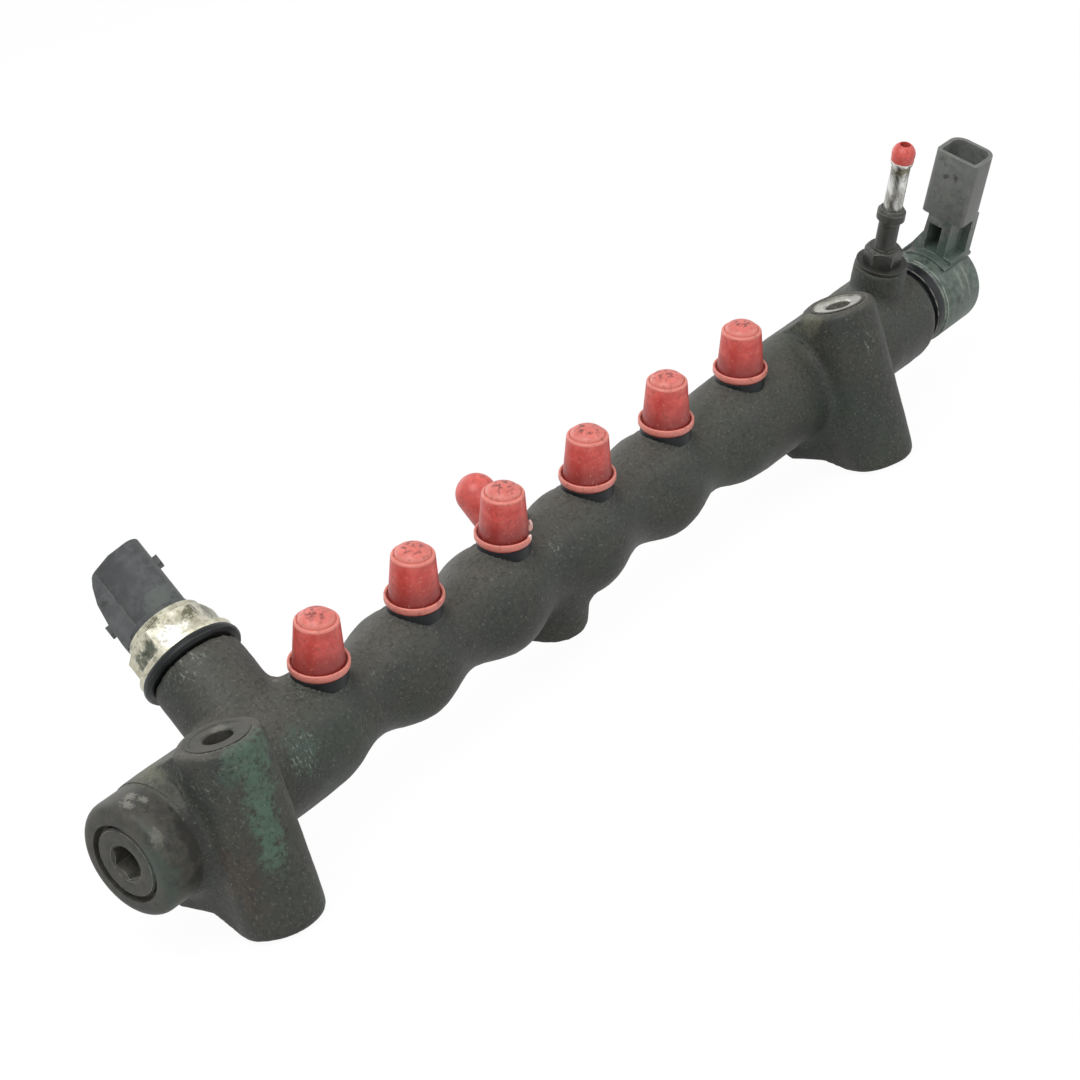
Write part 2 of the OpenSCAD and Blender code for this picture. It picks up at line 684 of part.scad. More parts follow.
tube_cap_lift = 1.6;
tube_cap_l = tube_cap_lift + tube_bead_drop;
tube_cap_hole_r = 1.9;
module tube_cap() {
    color("#cf4b44") on_rail(union_x, reg_lean) translate([0, 0, tube_top + tube_cap_lift]) difference() {
        union() {
            sphere(r = ball_r);
            translate([0, 0, -tube_cap_l]) cylinder(r = ball_r - 0.15, h = tube_cap_l);
        }
        translate([0, 0, -2 * ball_r - tube_cap_lift]) cylinder(r = tube_r + cap_gap, h = 2 * ball_r);
        translate([0, 0, -tube_cap_lift - overlap])
            cylinder(r = tube_r - tube_wall, h = tube_cap_lift + 1.5);
        cylinder(r = tube_cap_hole_r, h = 2 * ball_r);
    }
}

rail_forging();
for (i = [1:port_count])
    outlet_cap(i);
inlet_cap();
end_plug();
sensor_body();
sensor_seal();
sensor_plug_housing();
sensor_pins();
regulator_body();
regulator_seal();
regulator_can();
regulator_tower();
regulator_pins();
union_body();
union_washer();
leak_off_tube();
tube_cap();
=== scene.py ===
# Common rail of a six cylinder diesel, dressed for the picture.
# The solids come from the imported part. Sizes in this file are millimetres unless a note says otherwise.
import math

import bmesh
import bpy
from mathutils import Matrix, Vector, noise


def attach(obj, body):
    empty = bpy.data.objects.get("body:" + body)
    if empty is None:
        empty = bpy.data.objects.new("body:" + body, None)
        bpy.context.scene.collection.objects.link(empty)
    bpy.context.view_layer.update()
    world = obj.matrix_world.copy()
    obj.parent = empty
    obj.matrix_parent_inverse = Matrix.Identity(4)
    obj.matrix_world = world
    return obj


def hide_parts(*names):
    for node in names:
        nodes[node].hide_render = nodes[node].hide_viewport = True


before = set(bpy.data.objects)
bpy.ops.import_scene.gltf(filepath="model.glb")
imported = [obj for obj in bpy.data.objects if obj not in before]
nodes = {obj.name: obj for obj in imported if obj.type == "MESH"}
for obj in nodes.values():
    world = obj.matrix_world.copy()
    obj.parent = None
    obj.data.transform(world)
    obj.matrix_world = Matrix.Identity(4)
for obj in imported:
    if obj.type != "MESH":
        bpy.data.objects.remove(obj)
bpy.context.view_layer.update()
scene = bpy.context.scene
mm = 0.001
print("frame loaded:", len(nodes), "nodes")

# Places that the pieces share, the same as in the part
rail = {
    "y": 21.3,             # rail axis, from the bolts
    "z": 33.4,             # rail axis, above the feet
    "leftEnd": -184.5,
    "bolt": 155.5,         # each bolt, from the middle
    "ports": [-102.5, -59.5, -16.5, 26.5, 69.5, 112.5],
    "portLean": 20.5,      # degrees from upright, towards the bolts
    "inlet": -1.0,
    "inletLean": -30.0,
    "seat": 20.4,          # shoulder of each stub, above the rail axis
    "sensor": -125.8,
    "sensorLean": -45.5,
    "sensorTilt": 9.0,
    "union": 195.2,
    "unionLean": 28.0,
}


def onRail(x, lean, tilt=0.0):
    place = Matrix.Translation((x, rail["y"], rail["z"]))
    return place @ Matrix.Rotation(math.radians(lean), 4, "X") @ Matrix.Rotation(math.radians(tilt), 4, "Y")


def alongRail(x):
    return Matrix.Translation((x, rail["y"], rail["z"])) @ Matrix.Rotation(math.radians(90), 4, "Y")


# Camera: long lens, the whole rail running away to the upper right
camera = {
    "lens": 93.72,
    "sensor": 36.0,
    "near": 0.05,          # metres, as are far and place
    "far": 20.0,
    "place": (-0.582706, -0.588122, 0.344620),
    "right": (0.61750, -0.73509, -0.27989),
    "up": (0.43778, 0.02556, 0.89872),
    "forward": (0.65349, 0.67749, -0.33759),
}


def makeCamera():
    data = bpy.data.cameras.new("railCamera")
    data.lens = camera["lens"]
    data.sensor_width = camera["sensor"]
    data.clip_start = camera["near"]
    data.clip_end = camera["far"]
    cam = bpy.data.objects.new("railCamera", data)
    scene.collection.objects.link(cam)
    axes = Matrix((camera["right"], camera["up"], tuple(-v for v in camera["forward"]))).transposed()
    cam.matrix_world = Matrix.Translation(camera["place"]) @ axes.to_4x4()
    scene.camera = cam


makeCamera()
print("camera placed")


# Materials
def srgb(code):
    parts = [int(code[i:i + 2], 16) / 255 for i in (1, 3, 5)]
    return tuple(v / 12.92 if v <= 0.04045 else ((v + 0.055) / 1.055) ** 2.4 for v in parts) + (1.0,)


def addNode(tree, kind, inputs=None, **settings):
    # an input that is a node is linked from that node's first output
    node = tree.nodes.new(kind)
    for name, value in settings.items():
        setattr(node, name, value)
    for socket, value in (inputs or {}).items():
        if isinstance(value, bpy.types.Node):
            value = value.outputs[0]
        if isinstance(value, bpy.types.NodeSocket):
            tree.links.new(value, node.inputs[socket])
        else:
            node.inputs[socket].default_value = value
    return node


def startMaterial(name):
    material = bpy.data.materials.new(name)
    material.use_nodes = True
    material.node_tree.nodes.clear()
    return material, material.node_tree


def endMaterial(tree, inputs):
    addNode(tree, "ShaderNodeOutputMaterial", {"Surface": addNode(tree, "ShaderNodeBsdfPrincipled", inputs)})


def grain(tree, place, size, detail=4.0, rough=0.55, stretch=(1, 1, 1)):
    # cloudy pattern whose lumps are about size millimetres across
    spread = addNode(tree, "ShaderNodeMapping",
                     {"Vector": place, "Scale": tuple(s / (size * mm) for s in stretch)})
    return addNode(tree, "ShaderNodeTexNoise",
                   {"Vector": spread, "Scale": 1.0, "Detail": detail, "Roughness": rough})


def coat(tree, colour, code, *shares):
    # Lays one colour over another. Each share is a number, a mask, or a pattern with two of its values
    # and the share at each, with a soft step between. More than one are multiplied.
    amount = None
    for share in shares:
        if isinstance(share, tuple):
            pattern, low, high, atLow, atHigh = share
            share = addNode(tree, "ShaderNodeMapRange",
                            {"Value": pattern, "From Min": low, "From Max": high,
                             "To Min": atLow, "To Max": atHigh}, interpolation_type="SMOOTHSTEP")
        if amount is not None:
            share = addNode(tree, "ShaderNodeMath", {0: amount, 1: share}, operation="MULTIPLY")
        amount = share
    # 6 and 7 are the colour inputs of this node, and 2 is its colour output
    return addNode(tree, "ShaderNodeMix", {"Factor": amount, 6: colour, 7: srgb(code)},
                   data_type="RGBA").outputs[2]


def patch(tree, place, centre, reach, lump):
    # 1 inside an egg shaped patch round centre, 0 outside it, with an edge that is soft and ragged
    moved = addNode(tree, "ShaderNodeMapping",
                    {"Vector": place, "Location": tuple(-c / r for c, r in zip(centre, reach)),
                     "Scale": tuple(1 / (r * mm) for r in reach)})
    away = addNode(tree, "ShaderNodeVectorMath", {0: moved}, operation="LENGTH").outputs["Value"]
    ragged = addNode(tree, "ShaderNodeMapRange",
                     {"Value": grain(tree, place, lump, 5.0, 0.65), "From Min": 0.25, "From Max": 0.75,
                      "To Min": -0.5, "To Max": 0.5}, interpolation_type="SMOOTHSTEP")
    edge = addNode(tree, "ShaderNodeMath", {0: away, 1: ragged}, operation="ADD")
    return addNode(tree, "ShaderNodeMapRange",
                   {"Value": edge, "From Min": 0.4, "From Max": 1.2, "To Min": 1.0, "To Max": 0.0},
                   interpolation_type="SMOOTHSTEP")


def marked(tree, place, colour, marks):
    # stains, rubbed spots and dirt, each at its own place on the object
    for code, share, lump, spots in marks:
        for centre, reach in spots:
            colour = coat(tree, colour, code, patch(tree, place, centre, reach, lump), share)
    return colour


# Forged steel, phosphated black and oiled: a dull skin, grainy from scale and blasting, paler on its crests,
# with painted light on its upward sides and painted shade in its creases
forgedFinish = {
    "skin": "#323532",
    "skinPale": "#3f403b",
    "top": "#4e4c46",      # painted light on the sides that face up
    "dark": "#2d302d",
    "oily": "#384239",     # faint green of old oil
    "scale": "#20211f",
    "dust": "#74736c",
    "scuff": "#8f9a92",
    "crest": "#6f6c64",
    # painted shade in the concave creases
    "fold": "#1b1c1a",
    "stain": 42,           # lumps of each pattern
    "cloud": 26,
    "patchy": 7,
    "speck": 1.5,          # scale
    "grit": 0.9,           # blasting, drawn about twice as coarse as it is so that it shows
    "line": 0.9,           # scuffs, drawn coarser too
    "bump": 0.17,          # height of the grain
    "roughness": (0.5, 0.66),
    "specular": 0.3,       # oil and dust take some of the gloss
}
# What has happened to the forging, with one painted shade: colour, strength, raggedness, then each place and
# its reach
forgingMarks = [
    ("#485f50", 0.68, 3.0, [((-156, -12, 56), (9, 5, 7)), ((-157, -12.7, 46), (6, 5, 10)),
                            ((-159, -12.2, 35), (5, 4.5, 10)), ((-160, -12, 27), (4, 4.5, 7))]),
    ("#493b31", 0.42, 5.0, [((-167, -4, 22), (5, 7, 14))]),
    ("#3f4f47", 0.6, 3.0, [((-127, 4, 39.5), (6.5, 6, 8)), ((-164, -9.5, 53), (3, 3, 5))]),
    # painted shade in the crease beside the left ear
    ("#23221f", 0.75, 3.0, [((-171.5, 4.2, 40), (3.4, 2.6, 12)), ((-173.5, 4.1, 28), (3, 2.6, 8))]),
    ("#646553", 0.6, 4.0, [((144, 6, 57), (5, 8, 5)), ((-165, 21.9, 52), (9, 7, 3))]),
]
# Places where something has scraped the skin, in fine pale lines
forgingScuffs = [
    ((-130, 38.5, 66), (8, 6, 6)), ((-127, 3, 38), (7, 5, 7)), ((0, 10.5, 42), (3.5, 3, 4)),
    ((151.5, -12, 46), (2.5, 3, 5)), ((-86.4, 10.8, 42.2), (1.5, 1.5, 1.5)),
    ((-112.8, 13, 49.9), (3, 2.5, 1.5)), ((-164, 8, 54), (5, 6, 3)), ((154.3, -10.5, 59.9), (3, 1, 1)),
    ((-166, -2, 50), (3, 5, 4)), ((213, 3, 40), (1.5, 5, 10)),
]


def scuffed(tree, place, colour, code, share, spots):
    region = None
    for centre, reach in spots:
        inside = patch(tree, place, centre, reach, 2.5)
        if region is not None:
            inside = addNode(tree, "ShaderNodeMath", {0: region, 1: inside}, operation="MAXIMUM")
        region = inside
    lines = grain(tree, place, forgedFinish["line"], 3.0, 0.7, (1, 0.35, 0.5))
    return coat(tree, colour, code, region, (lines, 0.54, 0.66, 0.0, 1.0), share)


def makeForged():
    steel = forgedFinish
    material, tree = startMaterial("phosphatedForging")
    place = addNode(tree, "ShaderNodeTexCoord").outputs["Object"]
    form = addNode(tree, "ShaderNodeNewGeometry")
    up = addNode(tree, "ShaderNodeSeparateXYZ", {"Vector": form.outputs["Normal"]}).outputs["Z"]
    crest = form.outputs["Pointiness"]
    cloud = grain(tree, place, steel["cloud"], 5.0, 0.6)
    patchy = grain(tree, place, steel["patchy"], 4.0, 0.65)
    speck = grain(tree, place, steel["speck"], 3.0, 0.7)
    grit = grain(tree, place, steel["grit"], 2.0, 0.6)
    stain = grain(tree, place, steel["stain"], 3.0, 0.5)
    colour = coat(tree, srgb(steel["skin"]), steel["skinPale"], (cloud, 0.3, 0.7, 0.0, 1.0))
    # painted top light: paler where the surface faces up
    colour = coat(tree, colour, steel["top"], (up, 0.3, 0.95, 0.0, 0.8))
    colour = coat(tree, colour, steel["dark"], (patchy, 0.45, 0.8, 0.0, 0.5))
    colour = coat(tree, colour, steel["oily"], (stain, 0.5, 0.68, 0.0, 0.35))
    colour = marked(tree, place, colour, forgingMarks)
    colour = coat(tree, colour, steel["scale"], (speck, 0.45, 0.72, 0.0, 0.6))
    colour = coat(tree, colour, steel["dust"], (grit, 0.56, 0.78, 0.0, 0.5))
    colour = scuffed(tree, place, colour, steel["scuff"], 0.5, forgingScuffs)
    colour = coat(tree, colour, steel["crest"], (crest, 0.52, 0.61, 0.0, 0.7))
    # painted shade where the surface turns inward, from the pointiness
    colour = coat(tree, colour, steel["fold"], (crest, 0.40, 0.49, 0.7, 0.0))
    pit = addNode(tree, "ShaderNodeMapRange",
                  {"Value": grit, "From Min": 0.2, "From Max": 0.8, "To Min": 0.0, "To Max": 1.0},
                  interpolation_type="SMOOTHSTEP")
    shallow = addNode(tree, "ShaderNodeMath", {0: pit, 1: 0.5}, operation="MULTIPLY")
    height = addNode(tree, "ShaderNodeMath", {0: shallow, 1: speck}, operation="ADD")
    bump = addNode(tree, "ShaderNodeBump",
                   {"Strength": 0.7, "Distance": steel["bump"] * mm, "Height": height})
    rough = addNode(tree, "ShaderNodeMapRange",
                    {"Value": cloud, "From Min": 0.3, "From Max": 0.7, "To Min": steel["roughness"][0],
                     "To Max": steel["roughness"][1]}, interpolation_type="SMOOTHSTEP")
    endMaterial(tree, {"Base Color": colour, "Roughness": rough, "Metallic": 0.0, "IOR": 1.5,
                       "Specular IOR Level": steel["specular"], "Normal": bump})
    return material


# Polyethylene, moulded soft: a waxy red, pale where it is rubbed and where light is painted on its rim and
# closed end, dark where dirt has settled in it and with painted shade in the trough of its flange
redFinish = {
    "deep": "#b63f39",
    "clean": "#d25850",
    # pale from rubbing, and painted light on the rim, the closed end and the top of the cone
    "rubbed": "#cf7d71",
    "grime": "#6b2420",    # dirt and painted shade in the trough of the flange
    "dirt": "#6e2f2b",
    "smudge": "#4d2626",   # at the middle of the closed end
    "fleck": "#e3a298",
    "cloudSize": 4,
    "smearSize": 1.7,
    "fleckSize": 1.1,
    "skinSize": 0.9,       # texture of the mould, drawn coarser than it is so that it shows
    "bump": 0.07,
    "roughness": 0.42,
    "ior": 1.51,
    "cloudy": 0.12,        # share of the light that goes under the surface, and how deep
    "depth": 1.5,
}


def makeRed():
    red = redFinish
    material, tree = startMaterial("mouldedPolyethylene")
    place = addNode(tree, "ShaderNodeTexCoord").outputs["Object"]
    tone = addNode(tree, "ShaderNodeAttribute", attribute_name="tone").outputs["Fac"]
    middle = addNode(tree, "ShaderNodeAttribute", attribute_name="middle").outputs["Fac"]
    cloud = grain(tree, place, red["cloudSize"], 4.0, 0.6)
    smear = grain(tree, place, red["smearSize"], 3.0, 0.6)
    fleck = grain(tree, place, red["fleckSize"], 2.0, 0.5)
    colour = coat(tree, srgb(red["deep"]), red["clean"], (cloud, 0.3, 0.7, 0.0, 1.0))
    # pale with rubbing, and painted light on the rim, the closed end and the top of the cone
    colour = coat(tree, colour, red["rubbed"], (tone, 0.0, 1.0, 0.0, 1.0))
    # dark in the trough: dirt and painted shade
    colour = coat(tree, colour, red["grime"], (tone, -1.0, 0.0, 0.8, 0.0))
    colour = coat(tree, colour, red["dirt"], (smear, 0.5, 0.66, 0.0, 0.45), (cloud, 0.4, 0.6, 0.0, 1.0))
    colour = coat(tree, colour, red["smudge"], (smear, 0.46, 0.64, 0.0, 0.75), middle)
    colour = coat(tree, colour, red["fleck"], (fleck, 0.62, 0.76, 0.0, 0.3))
    skin = grain(tree, place, red["skinSize"])
    bump = addNode(tree, "ShaderNodeBump", {"Strength": 0.4, "Distance": red["bump"] * mm, "Height": skin})
    endMaterial(tree, {"Base Color": colour, "Roughness": red["roughness"], "IOR": red["ior"], "Normal": bump,
                       "Subsurface Weight": red["cloudy"], "Subsurface Scale": red["depth"] * mm})
    return material


# Patterns that the other finishes share
finishGrain = {
    "fine": 1.3,           # tool marks and dirt, drawn coarser than they are so that they show
    "blotch": 9,
    "edge": 2.5,           # breaks in the rubbed edges
    "bump": 0.06,
}


def makeFinish(name, low, high, rubbed, dirty, roughness, metallic=0.0, lump=6.0, stretch=(1, 1, 1),
               sheen=0.5, marks=()):
    # low and high are the clean colours, rubbed shows along edges, dirty in blotches
    material, tree = startMaterial(name)
    place = addNode(tree, "ShaderNodeTexCoord").outputs["Object"]
    worn = addNode(tree, "ShaderNodeAttribute", attribute_name="worn").outputs["Fac"]
    cloud = grain(tree, place, lump, 5.0, 0.6, stretch)
    fine = grain(tree, place, finishGrain["fine"], 3.0, 0.65, stretch)
    blotch = grain(tree, place, finishGrain["blotch"])
    broken = grain(tree, place, finishGrain["edge"], 4.0, 0.6)
    colour = coat(tree, srgb(low), high, (cloud, 0.3, 0.7, 0.0, 1.0))
    colour = coat(tree, colour, dirty, (fine, 0.48, 0.7, 0.0, 0.7), (blotch, 0.4, 0.65, 0.0, 1.0))
    colour = marked(tree, place, colour, marks)
    colour = coat(tree, colour, rubbed, worn, (broken, 0.35, 0.6, 0.1, 0.9))
    bump = addNode(tree, "ShaderNodeBump",
                   {"Strength": 0.35, "Distance": finishGrain["bump"] * mm, "Height": fine})
    rough = addNode(tree, "ShaderNodeMapRange",
                    {"Value": cloud, "From Min": 0.3, "From Max": 0.7,
                     "To Min": roughness - 0.06, "To Max": roughness + 0.08}, interpolation_type="SMOOTHSTEP")
    inputs = {"Base Color": colour, "Roughness": rough, "Metallic": metallic, "Normal": bump}
    if metallic < 1:
        inputs["IOR"] = 1.5
        inputs["Specular IOR Level"] = sheen
    endMaterial(tree, inputs)
    return material


forgedSkin = makeForged()
redPlastic = makeRed()
# The same where it has torn: stretched white along the edges
tornPlastic = makeFinish("tornPolyethylene", low="#e8b8ad", high="#f3d4cb", rubbed="#f3d4cb",
                         dirty="#c9776b", roughness=0.5, lump=1.5)
# Turned steel under black phosphate: smooth and nearly black, grey where tools and caps have rubbed it
darkSteel = makeFinish("phosphatedTurnedSteel", low="#16181b", high="#26282a", rubbed="#85837c",
                       dirty="#0f0f10", roughness=0.45, sheen=0.25)
# The same on the end of the rail, handled more: a grey skin with pale scuffs, and painted shade beside the
# left ear
turnedEnd = makeFinish("phosphatedRailEnd", low="#2f302d", high="#484640", rubbed="#8d8b84",
                       dirty="#1c1c1a", roughness=0.52, lump=3.5, sheen=0.3, marks=[
    ("#8d8c82", 0.5, 0.8, [((-180.2, 16.1, 50.6), (1.5, 3, 1.4)), ((-177, 18.2, 51.1), (2, 2, 1.4)),
                           ((-176, 14.3, 50), (1.4, 2, 1.4))]),
    ("#77776e", 0.5, 1.2, [((-181.7, 6.2, 42.8), (2, 1.6, 4)), ((-152, 3, 59.7), (3, 3, 1))]),
    ("#3f4a43", 0.6, 3.0, [((-183, 8, 30), (4, 6, 16))]),
    # painted shade in the crease beside the left ear
    ("#232220", 0.7, 3.0, [((-173.5, 4.2, 38), (3, 3, 14))])])
# Faced bolt seat on the right: bare steel, with painted shade down the hole
seatSteel = makeFinish("facedSteel", low="#8f8e86", high="#bdbcb3", rubbed="#e2e1d8", dirty="#4b4a46",
                       roughness=0.35, metallic=0.6, marks=[
    # painted shade inside the bolt hole
    ("#2f2f2d", 0.9, 2.0, [((155.5, 0, 44), (8, 8, 13))])])
# Zinc plate, passivated yellow: pale and bright, with dark grease and dirt rubbed into it, and a painted
# white reflection on one hex facet
zincPlate = makeFinish("zincPlatedSteel", low="#aeaa94", high="#d2cfbd", rubbed="#f2f1ea", dirty="#5d5d50",
                       roughness=0.34, metallic=1.0, lump=3.0, marks=[
    ("#454c41", 0.9, 2.0, [((-131.5, 50.5, 70), (3, 4.2, 4.2)), ((-131, 54.5, 66.5), (3, 4, 4))]),
    ("#50513f", 0.85, 1.4, [((-117, 44, 77), (4, 3, 2.4)), ((-108.5, 49, 72.3), (4, 5, 5)),
                            ((-127, 51, 78), (4, 3, 2.4))]),
    # painted reflection: one hex facet painted white
    ("#fbfbfa", 0.95, 1.6, [((-125.5, 45, 72.8), (5, 4, 4.2))])])
# Drawn steel can, zinc plated: mottled grey green, with pale streaks down its length that are painted
# highlights
canPlate = makeFinish("zincPlatedCan", low="#3a4640", high="#5e6b63", rubbed="#969b93", dirty="#232925",
                      roughness=0.5, lump=2.5, marks=[
    # painted highlights: narrow pale streaks along the can
    ("#7d857c", 0.6, 2.0, [((235, 5, 38), (1.0, 2, 8)), ((239, 5.5, 36), (0.8, 2, 9))]),
    ("#2e3430", 0.8, 1.6, [((228, 4.5, 43), (1.6, 3, 2)), ((231, 4.5, 30), (1.4, 3, 3))])])
# Turned steel, handled: dark phosphate, bright on its edges
wornSteel = makeFinish("wornTurnedSteel", low="#2e2f2d", high="#3d3d39", rubbed="#a3a198", dirty="#1c1c1a",
                       roughness=0.42, lump=4.0, sheen=0.35)
# Nitrile rubber, moulded: black with the gloss of oil on it
blackRubber = makeFinish("nitrileRubber", low="#0f1112", high="#191c1d", rubbed="#2c2e2e", dirty="#0a0a0a",
                         roughness=0.42, sheen=0.25)
# Nylon with glass fibre, moulded: flat dark grey, paler along rubbed edges, with painted shade over part of
# the plug
darkNylon = makeFinish("glassFilledNylonDark", low="#2e3031", high="#454748", rubbed="#85867f",
                       dirty="#242525", roughness=0.5, lump=3.0, marks=[
    # painted shade over one side of the plug
    ("#2a2c2d", 0.6, 4.0, [((-119, 71, 90), (4, 7, 11))]),
    ("#525a54", 0.5, 2.0, [((-117, 57, 80), (7, 5, 5))]),
    ("#1b1c1d", 0.9, 0.6, [((-124.7, 73.2, 81.4), (1.3, 1.3, 1.6))])])
# The same, faded, with oil and dirt washed down to its foot
greyNylon = makeFinish("glassFilledNylon", low="#585a58", high="#686a66", rubbed="#bcbdb7", dirty="#343634",
                       roughness=0.5, lump=4.0, marks=[
    ("#41524a", 0.9, 3.0, [((236, 8, 47), (14, 16, 12))]),
    ("#232422", 0.8, 0.9, [((231.9, -2.4, 77.8), (1, 1.5, 1.0)), ((231.9, -6.4, 76.6), (1, 1.2, 1.6))])])
# Tinned brass, stamped: soft pale yellow
tinnedBrass = makeFinish("tinnedBrass", low="#a89a70", high="#c9c0a0", rubbed="#e4dcc0", dirty="#6f6548",
                         roughness=0.35, metallic=1.0)
# Copper gone dark with heat and oil: hardly to be told from the steel round it
oldCopper = makeFinish("washerCopper", low="#222220", high="#2c2b28", rubbed="#57534b", dirty="#171716",
                       roughness=0.55, metallic=0.2)
# Drawn steel tube, zinc plated: streaked along its length, olive with dirt under the cap
drawnTube = makeFinish("zincPlatedTube", low="#8f908a", high="#ececea", rubbed="#f6f6f4", dirty="#55564c",
                       roughness=0.36, metallic=0.85, lump=2.2, stretch=(1, 1, 0.14), marks=[
    ("#5d5a3c", 0.9, 1.2, [((194, -12.6, 93.6), (5, 4, 2.2))]),
    ("#6a6656", 0.6, 2.0, [((195, -5, 84), (5, 5, 3))])])
print("materials made")


def stampPiece(name, mesh, materials, slotName, *standsFor):
    piece = bpy.data.objects.new(name, mesh)
    scene.collection.objects.link(piece)
    for material in materials:
        mesh.materials.append(material)
    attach(piece, "root")
    if standsFor:
        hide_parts(*standsFor)


# Forging: the part's own solid, with the die radii and the uneven skin that a forging has
forging = {
    "voxel": 1.0,         # grid that the skin is rebuilt on
    "passes": 44,         # how far the inside corners fill
    "fill": 1.0,          # share of that filling which is kept
    "edge": 0.3,          # share of the rounding that outside edges get
    "lump": 9.0,          # width of the skin's unevenness
    "relief": 0.14,       # and its height
    "boreStart": -169.5,
    "mainBore": (5.8, 361),       # radius and length of what fills each bore under the skin
    "outletBore": (4.6, 29.3),
    "inletBore": (3.6, 29.3),
    "sensorBore": (2.2, 23.5),
    "unionBore": (2.2, 18),
}
# Where the skin goes under a turned ring, and how far it draws back there
tuck = {
    "depth": 0.4,
    "hole": 6.5,          # wall of a bolt hole, from its axis
    "seat": 9.8,          # faced seat, from the bolt axis
    "seatHeight": 57.5,
    "end": 13.3,          # turned end, along the rail
    "endFace": 3.5,
    "plugHole": 12.8,     # inside this it draws outwards, from the rail axis
    "endSkin": 13.0,      # outside this it draws inwards
    "stub": 9.7,          # a stub, from its own axis
    "stubFoot": 15.6,     # above the rail axis
    "collarFoot": 16.0,
    "collarInner": 7.4,
    "collarOuter": 9.2,
}


def makeForging():
    bm = bmesh.new()
    bm.from_mesh(nodes["rail_forging"].data)
    bmesh.ops.remove_doubles(bm, verts=bm.verts, dist=1e-6)
    fillings = [(alongRail(forging["boreStart"]), forging["mainBore"])]
    fillings += [(onRail(x, rail["portLean"]), forging["outletBore"]) for x in rail["ports"]]
    fillings += [(onRail(rail["inlet"], rail["inletLean"]), forging["inletBore"]),
                 (onRail(rail["sensor"], rail["sensorLean"], rail["sensorTilt"]), forging["sensorBore"]),
                 (onRail(rail["union"], rail["unionLean"]), forging["unionBore"])]
    for place, (radius, length) in fillings:
        move = Matrix.Scale(mm, 4) @ place @ Matrix.Translation((0, 0, length / 2))
        bmesh.ops.create_cone(bm, cap_ends=True, segments=24, radius1=radius, radius2=radius, depth=length,
                              matrix=move)
    mesh = bpy.data.meshes.new("railForging")
    bm.to_mesh(mesh)
    bm.free()
    work = bpy.data.objects.new("forgingWork", mesh)
    scene.collection.objects.link(work)
    remesh = work.modifiers.new("skin", "REMESH")
    remesh.mode = "VOXEL"
    remesh.voxel_size = forging["voxel"] * mm
    skin = bpy.data.meshes.new_from_object(work.evaluated_get(bpy.context.evaluated_depsgraph_get()))
    bpy.data.objects.remove(work)
    print("forging skin:", len(skin.polygons), "faces")
    roundForging(skin)
    skin.shade_smooth()
    skin.name = "railForging"
    skin.materials.clear()
    stampPiece("railForging", skin, [forgedSkin], "forged_steel", "rail_forging")


def stubPlaces():
    places = [onRail(x, rail["portLean"]) for x in rail["ports"]]
    places.append(onRail(rail["inlet"], rail["inletLean"]))
    return places


def fromBolt(point):
    return min(math.hypot(point.x - rail["bolt"], point.y), math.hypot(point.x + rail["bolt"], point.y))


def tucked(point, stubs):
    # where a point of the skin goes under a turned ring, or None if no ring covers it
    depth = tuck["depth"]
    reach = fromBolt(point)
    onSeat = point.z > tuck["seatHeight"]
    if reach < tuck["hole"]:
        out = Vector((point.x - math.copysign(rail["bolt"], point.x), point.y, 0)).normalized() * depth
        return point + out - Vector((0, 0, depth if onSeat else 0))
    if onSeat and reach < tuck["seat"]:
        return point - Vector((0, 0, depth))
    along = point.x - rail["leftEnd"]
    if along < tuck["end"]:
        out = Vector((0, point.y - rail["y"], point.z - rail["z"]))
        if out.length < tuck["plugHole"]:
            out = out.normalized() * -depth
        elif out.length > tuck["endSkin"]:
            out = out.normalized() * depth
        else:
            out = Vector()
        return point - out + Vector((depth if along < tuck["endFace"] else 0, 0, 0))
    for stub, place in stubs:
        local = stub @ point
        reach = math.hypot(local.x, local.y)
        if local.z > tuck["stubFoot"] and reach < tuck["stub"]:
            if local.z > tuck["collarFoot"] and tuck["collarInner"] < reach < tuck["collarOuter"]:
                local.x *= (reach - depth) / reach
                local.y *= (reach - depth) / reach
            return place @ local
    return None


def roundForging(mesh):
    bm = bmesh.new()
    bm.from_mesh(mesh)
    bm.normal_update()
    before = [v.co.copy() for v in bm.verts]
    normals = [v.normal.copy() for v in bm.verts]
    for _ in range(forging["passes"]):
        bmesh.ops.smooth_vert(bm, verts=bm.verts, factor=0.5, use_axis_x=True, use_axis_y=True,
                              use_axis_z=True)
    stubs = [(place.inverted(), place) for place in stubPlaces()]
    for v, start, normal in zip(bm.verts, before, normals):
        point = start / mm
        covered = tucked(point, stubs)
        if covered is not None:
            v.co = covered * mm
            continue
        moved = (v.co - start).dot(normal)
        moved *= forging["fill"] if moved > 0 else forging["edge"]
        uneven = noise.fractal(point / forging["lump"], 0.8, 2.0, 3) * forging["relief"] * mm
        v.co = start + normal * (moved + uneven)
    bm.to_mesh(mesh)
    bm.free()


makeForging()
print("forging made")


def quarterTurn(steps=8):
    return [math.radians(90 * step / steps) for step in range(steps + 1)]


def spinProfile(points, place, steps=64):
    bm = bmesh.new()
    verts = [bm.verts.new((radius, 0.0, height)) for radius, height in points]
    edges = [bm.edges.new(pair) for pair in zip(verts, verts[1:])]
    if points[0][0] > 0 or points[-1][0] > 0:
        edges.append(bm.edges.new((verts[-1], verts[0])))
    bmesh.ops.spin(bm, geom=verts + edges, cent=(0, 0, 0), axis=(0, 0, 1), angle=2 * math.pi, steps=steps,
                   use_merge=True)
    bmesh.ops.remove_doubles(bm, verts=bm.verts, dist=0.0005)
    bmesh.ops.recalc_face_normals(bm, faces=bm.faces)
    bmesh.ops.transform(bm, matrix=Matrix.Scale(mm, 4) @ place, verts=bm.verts)
    return bm


def finishMesh(bm, name, angle=40):
    mesh = bpy.data.meshes.new(name)
    bm.to_mesh(mesh)
    bm.free()
    mesh.shade_smooth()
    mesh.set_sharp_from_angle(angle=math.radians(angle))
    return mesh


